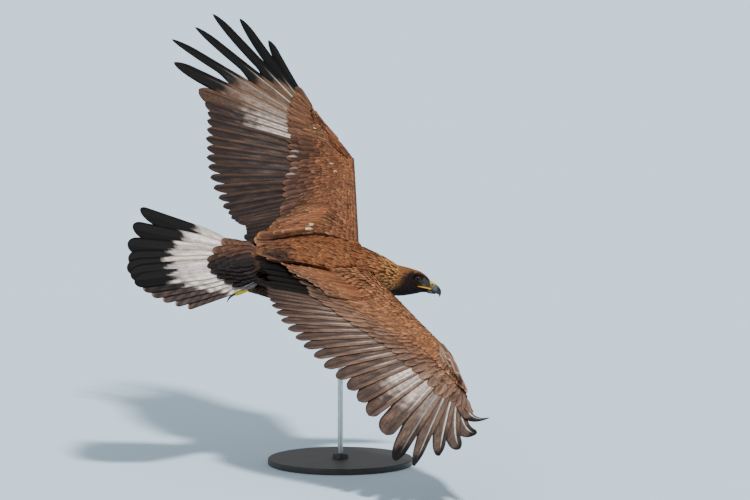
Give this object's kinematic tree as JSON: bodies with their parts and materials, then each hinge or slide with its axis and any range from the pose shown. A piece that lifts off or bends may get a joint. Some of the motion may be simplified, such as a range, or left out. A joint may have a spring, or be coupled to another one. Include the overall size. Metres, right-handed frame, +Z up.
{
  "type": "golden eagle",
  "caption": "Life-size young golden eagle in a banked glide, wings and tail spread, held by one rod on a plain round base.",
  "frame": {"origin": "middle of the stand's underside, on the floor", "axes": "+X the way the bird flies, +Y to its left, +Z up; the bird banks to its right on the stand"},
  "size_m": [0.8707, 1.7978, 1.1153],
  "materials": {
    "brown_feathers": "matte",
    "golden_feathers": "matte",
    "tail_feathers": "matte",
    "yellow_skin": "satin",
    "horn": "gloss",
    "eye": "gloss",
    "stand_plate": "matte",
    "stand_steel": "satin"
  },
  "bodies": {
    "root": {"torso": "brown_feathers", "neck": "golden_feathers", "head": "brown_feathers", "cere": "yellow_skin", "bill_upper": "horn", "bill_lower": "horn", "eye_left": "eye", "eye_right": "eye", "wing_left": "brown_feathers", "wing_right": "brown_feathers", "tail": "tail_feathers", "leg_left": "brown_feathers", "foot_left": "yellow_skin", "claw_left_1": "horn", "claw_left_2": "horn", "claw_left_3": "horn", "claw_left_4": "horn", "leg_right": "brown_feathers", "foot_right": "yellow_skin", "claw_right_1": "horn", "claw_right_2": "horn", "claw_right_3": "horn", "claw_right_4": "horn", "stand_base": "stand_plate", "stand_rod": "stand_steel"}
  },
  "joints": []
}
